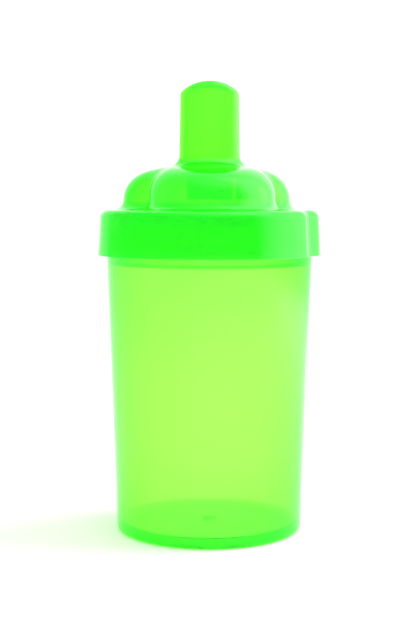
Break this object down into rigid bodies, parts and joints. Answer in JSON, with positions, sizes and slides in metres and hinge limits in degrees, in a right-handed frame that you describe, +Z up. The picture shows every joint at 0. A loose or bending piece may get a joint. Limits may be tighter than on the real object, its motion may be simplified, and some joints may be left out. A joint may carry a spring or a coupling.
{
  "type": "sippy cup",
  "caption": "Toddler's spout cup: tapered tumbler, screw-on lobed lid with a tall flat spout, silicone seal ring and pull-out no-spill valve.",
  "frame": {"origin": "centre of the flat foot ring the cup stands on, on the cup's axis", "axes": "+Z up along the cup's axis; the spout's two wide faces look along -Y, the front, and +Y"},
  "size_m": [0.0758, 0.0758, 0.1532],
  "materials": {
    "cup_plastic": "glossy translucent yellow-green polypropylene",
    "lid_plastic": "glossy translucent bright green polypropylene, thicker and deeper in colour",
    "seal_silicone": "matte translucent silicone",
    "valve_silicone": "matte translucent silicone"
  },
  "bodies": {
    "cup": {"cup_body": "cup_plastic"},
    "seal": {"seal_ring": "seal_silicone"},
    "lid": {"lid": "lid_plastic"},
    "valve": {"valve": "valve_silicone"}
  },
  "joints": [
    {"name": "lid_rise", "type": "slide", "parent": "cup", "child": "seal", "axis": [0, 0, 1], "range_m": [0, 0.0081]},
    {"name": "lid_turn", "type": "hinge", "parent": "seal", "child": "lid", "pos_m": [0, 0, 0.1], "axis": [0, 0, 1], "range_deg": [0, 240]},
    {"name": "valve_pull", "type": "slide", "parent": "lid", "child": "valve", "axis": [0, 0, -1], "range_m": [0, 0.012]}
  ],
  "couplings": [
    {"joint": "lid_rise", "follows": "lid_turn", "m_per_rad": 0.0019099}
  ]
}
